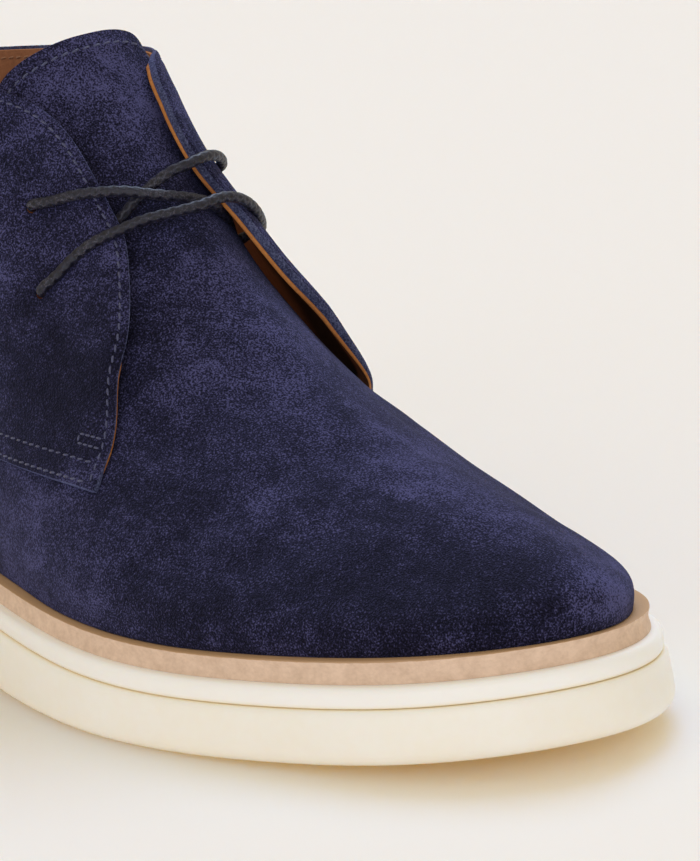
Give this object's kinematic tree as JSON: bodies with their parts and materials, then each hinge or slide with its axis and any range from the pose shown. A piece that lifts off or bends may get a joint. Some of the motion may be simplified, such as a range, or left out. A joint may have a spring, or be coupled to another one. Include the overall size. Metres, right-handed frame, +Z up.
{
  "type": "chukka boot",
  "caption": "Low suede ankle boot for the right foot: smooth vamp with an integral tongue, two laced quarters over it, beige welt and a layered cream sole.",
  "frame": {"origin": "middle of the sole's footprint, on the floor", "axes": "+X from heel to toe, +Y towards the medial side, +Z up"},
  "size_m": [0.302, 0.1098, 0.1409],
  "materials": {
    "outsole": "satin, cream",
    "midsole": "satin, pale cream",
    "welt": "matte, beige",
    "insole": "smooth, tan",
    "suede": "napped suede, navy",
    "lace": "waxed braid, charcoal"
  },
  "bodies": {
    "root": {"outsole": "outsole", "midsole": "midsole", "welt": "welt", "insole": "insole", "upper": "suede", "tongue": "suede", "quarter_lateral": "suede", "quarter_medial": "suede", "lace": "lace"}
  },
  "joints": []
}
